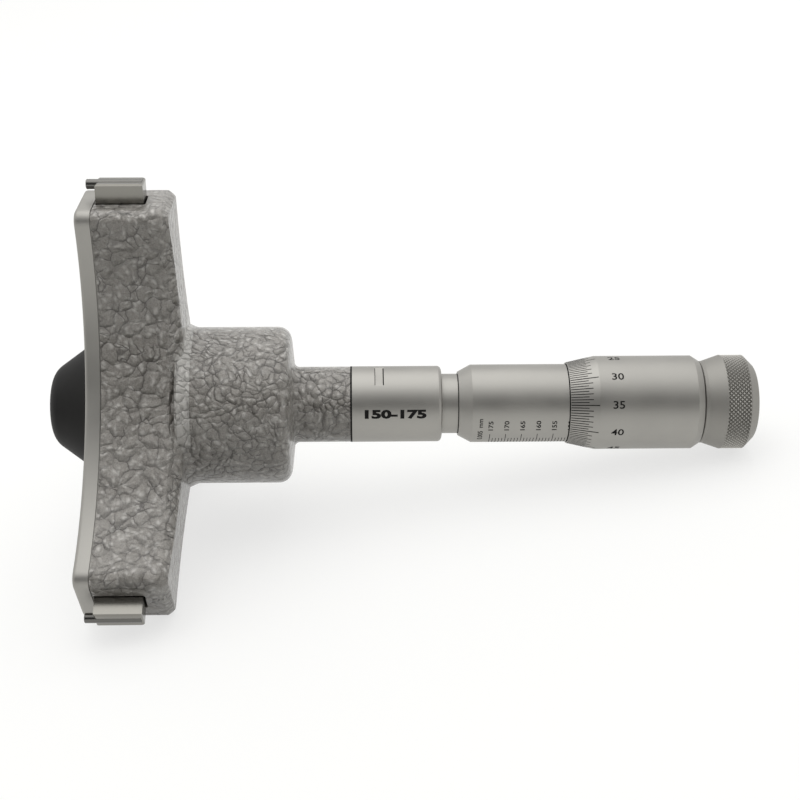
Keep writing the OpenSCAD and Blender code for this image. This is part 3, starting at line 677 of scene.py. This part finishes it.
band_from, band_to = knurl_x + margin, rim_x - margin
front = [(knob_x, knob_bore_r), (knob_x, knob_front_r - 0.2 * MM), (knob_x + 0.2 * MM, knob_front_r),
         (flare_x, knob_front_r), (knurl_x - margin, knob_r - 0.05 * MM)]
band = [(band_from + (band_to - band_from) * i / rows, knob_r) for i in range(rows + 1)]
slope = [(rim_x + margin, knob_r - 0.1 * MM), (knob_end_x - 0.3 * MM, knob_end_r + 0.2 * MM),
         (knob_end_x, knob_end_r - 0.3 * MM)]
bore = [(knob_end_x, head_bore_r), (head_x, head_bore_r), (head_x, shank_bore_r),
        (floor_x, shank_bore_r), (floor_x, knob_bore_r)]
print("a diamond is", round(2 * math.pi * knob_r / diamonds / MM, 2), "mm round the knob and",
      round(2 * (band_to - band_from) / rows / MM, 2), "mm along it")

# %% Knob with a diamond knurl
def spun(profile, steps):
    """Spins (place, radius) points about the spindle into a closed skin."""
    shape = bmesh.new()
    ring = [shape.verts.new((x, 0, r)) for x, r in profile]
    edges = [shape.edges.new(pair) for pair in zip(ring, ring[1:] + ring[:1])]
    bmesh.ops.spin(shape, geom=ring + edges, cent=(0, 0, 0), axis=(1, 0, 0), dvec=(0, 0, 0),
                   angle=2 * math.pi, steps=steps, use_merge=True, use_duplicate=False)
    bmesh.ops.remove_doubles(shape, verts=shape.verts, dist=0.001 * MM)
    bmesh.ops.recalc_face_normals(shape, faces=shape.faces)
    return shape


def at_radius(point, r):
    """Whether a point lies this far from the spindle axis."""
    return abs(math.hypot(point.co.y, point.co.z) - r) < 0.01 * MM


knob = spun(front + band + slope + bore, 2 * diamonds)
for point in knob.verts:
    if at_radius(point, knob_r):
        row = round((point.co.x - band_from) / (band_to - band_from) * rows)
        column = round(math.atan2(point.co.y, point.co.z) / math.pi * diamonds)
        if (row + column) % 2:
            sunk = 1 - groove / math.hypot(point.co.y, point.co.z)
            point.co.y *= sunk
            point.co.z *= sunk
split = 0
for face in list(knob.faces):
    low = [point for point in face.verts if at_radius(point, knob_r - groove)]
    if len(low) == 2 and len(face.verts) == 4:
        bmesh.ops.connect_verts(knob, verts=low)
        split += 1
print("diamond faces split:", split)

# %% [markdown]
# ### Finish of the knurl
# The knob is satin chrome like the handle. On the knurled band the colour is paler, and it darkens
# the deeper a point lies in a groove. The distance from the spindle axis tells the tips from the
# grooves, and a comparison along the spindle keeps both to the knurled band.

# %% Knurled satin chrome
dark_from_depth, dark_full_depth = 0.1, 0.35
band_middle = (knurl_x + rim_x) / 2 / MM
band_half = (rim_x - knurl_x) / 2 / MM - 0.1


def knurled():
    metal = turned_metal("Knurled satin chrome", "#9d9b96", 0.6)
    tree = metal.node_tree
    shader = next(node for node in tree.nodes if node.type == "BSDF_PRINCIPLED")
    plain = shader.inputs["Base Color"].links[0].from_socket
    place = along_spindle(tree, (1, 1, 1))
    along = add(tree, "SeparateXYZ", {"Vector": place}).outputs["X"]
    across = add(tree, "VectorMath", {0: place, 1: (0, 1, 1)}, operation="MULTIPLY")
    radius = add(tree, "VectorMath", {0: across}, operation="LENGTH")
    depth = add(tree, "MapRange", {"Value": radius, "From Min": knob_r / MM - dark_from_depth,
                                   "From Max": knob_r / MM - dark_full_depth})
    inside = add(tree, "Math", {0: along, 1: band_middle, 2: band_half}, operation="COMPARE")
    # Darker the deeper a point lies in a groove, paler on the band as a whole.
    deep_dark = add(tree, "Math", {0: depth, 1: inside}, operation="MULTIPLY")
    pale_band = add(tree, "Mix", {"Factor": inside, "A": plain, "B": linear("#c9c7c2")}, data_type="RGBA")
    tone = add(tree, "Mix", {"Factor": deep_dark, "A": pale_band, "B": linear("#95938e")}, data_type="RGBA")
    tree.links.new(tone.outputs["Result"], shader.inputs["Base Color"])
    return metal


knob_piece = gather([knob], "knurled_knob", "ratchet_grip", knurled())
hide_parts("ratchet_knob")
print("knurled knob:", len(knob_piece.data.polygons), "faces")

# %% [markdown]
# ## Table
# The instrument lies on a plain white table. A flat plane would end below the horizon and show the
# dark room behind it, so the disc's far rim rises a little, metres away from the instrument.
#
# White paint under this lamp would not be quite white in the picture. So the table glows for the
# camera and for reflections and refractions, which see the same white, while it takes light and
# shadow as a grey that throws less light up from below.

# %% Table
table_profile = ((0, 0), (2, 0), (3, 0.05), (4, 0.2), (5, 0.45), (6, 0.8))
table_gap = 0.0002
table_glow = 0.68


def white_table():
    grey = linear("#92928f")
    material, tree, shader = finish_named("White table", {"Roughness": 0.8, "Base Color": grey})
    ray = add(tree, "LightPath").outputs
    seen = add(tree, "Math", {0: ray["Is Camera Ray"], 1: ray["Is Glossy Ray"]}, operation="MAXIMUM")
    seen = add(tree, "Math", {0: seen, 1: ray["Is Transmission Ray"]}, operation="MAXIMUM")
    share = add(tree, "Math", {0: seen, 1: table_glow}, operation="MULTIPLY")
    glow = add(tree, "Emission", {"Color": linear("#ffffff"), "Strength": share})
    both = add(tree, "AddShader", {0: shader, 1: glow})
    out = next(node for node in tree.nodes if node.type == "OUTPUT_MATERIAL")
    tree.links.new(both.outputs["Shader"], out.inputs["Surface"])
    return material


def table_top():
    """A wide disc that is flat below the instrument and rises at its far rim."""
    low = cad_box[0].z - table_gap
    shape = bmesh.new()
    line = [shape.verts.new((r, 0, low + rise)) for r, rise in table_profile]
    edges = [shape.edges.new(pair) for pair in zip(line, line[1:])]
    bmesh.ops.spin(shape, geom=line + edges, cent=(0, 0, 0), axis=(0, 0, 1), dvec=(0, 0, 0),
                   angle=2 * math.pi, steps=64, use_merge=True, use_duplicate=False)
    bmesh.ops.remove_doubles(shape, verts=shape.verts, dist=0.001)
    bmesh.ops.recalc_face_normals(shape, faces=shape.faces)
    if sum(face.normal.z for face in shape.faces) < 0:
        bmesh.ops.reverse_faces(shape, faces=shape.faces)
    mesh = bpy.data.meshes.new("table_top")
    shape.to_mesh(mesh)
    shape.free()
    mesh.shade_smooth()
    mesh.materials.append(white_table())
    top = bpy.data.objects.new("table_top", mesh)
    bpy.context.collection.objects.link(top)
    return top


table = table_top()
print("table at", round(min(point.co.z for point in table.data.vertices) / MM, 2), "mm")

# %% [markdown]
# ## Lamp and room
# One wide, soft lamp hangs above and a little behind the instrument. Metal shows what surrounds it,
# so the room matters as much: it is bright above and behind, and dark on the camera's side. The
# dark band along the handle is that unlit side, between the lamp above and the table below. The
# ends of the room, left and right, are a little paler.

# %% Lamp and room
lamp_place, lamp_aim = Vector((0.08, 0.25, 1.0)), Vector((0.08, 0.0, 0.0))
lamp_size, lamp_watts = (0.9, 1.3), 4.4
lean_back = math.radians(35)
lit_dot = 0.4  # cosine of the widest angle from the brightest direction that is still fully lit
dark_level, lit_level, end_level = 0.08, 0.9, 0.25


def soft_lamp(name):
    lamp = bpy.data.lights.new(name, "AREA")
    lamp.shape = "RECTANGLE"
    lamp.size, lamp.size_y = lamp_size
    lamp.energy = lamp_watts
    holder = bpy.data.objects.new(name, lamp)
    bpy.context.collection.objects.link(holder)
    holder.location = lamp_place
    holder.rotation_euler = (lamp_aim - lamp_place).to_track_quat("-Z", "Y").to_euler()
    return holder


def studio_room():
    room = bpy.data.worlds.new("Room")
    room.use_nodes = True
    tree = room.node_tree
    tree.nodes.clear()
    towards = add(tree, "TexCoord").outputs["Generated"]
    brightest = (0, math.sin(lean_back), math.cos(lean_back))
    nearness = add(tree, "VectorMath", {0: towards, 1: brightest}, operation="DOT_PRODUCT")
    above = add(tree, "MapRange", {"Value": nearness, "From Max": lit_dot,
                                   "To Min": dark_level, "To Max": lit_level}, **smooth)
    sideways = add(tree, "SeparateXYZ", {"Vector": towards}).outputs["X"]
    beside = add(tree, "Math", {0: sideways, 1: sideways}, operation="MULTIPLY")
    level = add(tree, "Math", {0: beside, 1: end_level, 2: above}, operation="MULTIPLY_ADD")
    lit = add(tree, "Background", {"Color": linear("#ffffff"), "Strength": level})
    add(tree, "OutputWorld", {"Surface": lit})
    return room


soft_lamp("overhead")
bpy.context.scene.world = studio_room()

# %% [markdown]
# ## Camera
# The camera stands where the photograph was taken from: abreast of the sleeve, about half a metre
# away and 27 degrees above the spindle, and rolled so that the spindle lies level in the picture.

# %% Camera
distance, foot_x = 471 * MM, 69 * MM
look_x, look_up, roll = 81.2 * MM, 1.2 * MM, -0.39
pixels, focal_pixels = 800, 1475
sensor = 36


def camera_at():
    out = Vector((0, -math.cos(facing), math.sin(facing)))
    up = Vector((0, math.sin(facing), math.cos(facing)))
    stand = Vector((foot_x, 0, 0)) + out * distance
    aim = Vector((look_x, 0, 0)) + up * look_up
    back = (stand - aim).normalized()
    right = up.cross(back).normalized()
    turn = Matrix((right, back.cross(right), back)).transposed().to_4x4()
    rolled = Matrix.Rotation(math.radians(roll), 4, "Z")
    data = bpy.data.cameras.new("camera")
    data.sensor_width = sensor
    data.lens = sensor * focal_pixels / pixels
    camera = bpy.data.objects.new("camera", data)
    bpy.context.collection.objects.link(camera)
    camera.matrix_world = lay_down @ Matrix.Translation(stand) @ turn @ rolled
    return camera


camera = camera_at()
bpy.context.scene.camera = camera
bpy.context.scene.view_settings.view_transform = "Standard"
print("lens:", round(camera.data.lens, 1), "mm")

# %% Update the scene
bpy.context.view_layer.update()
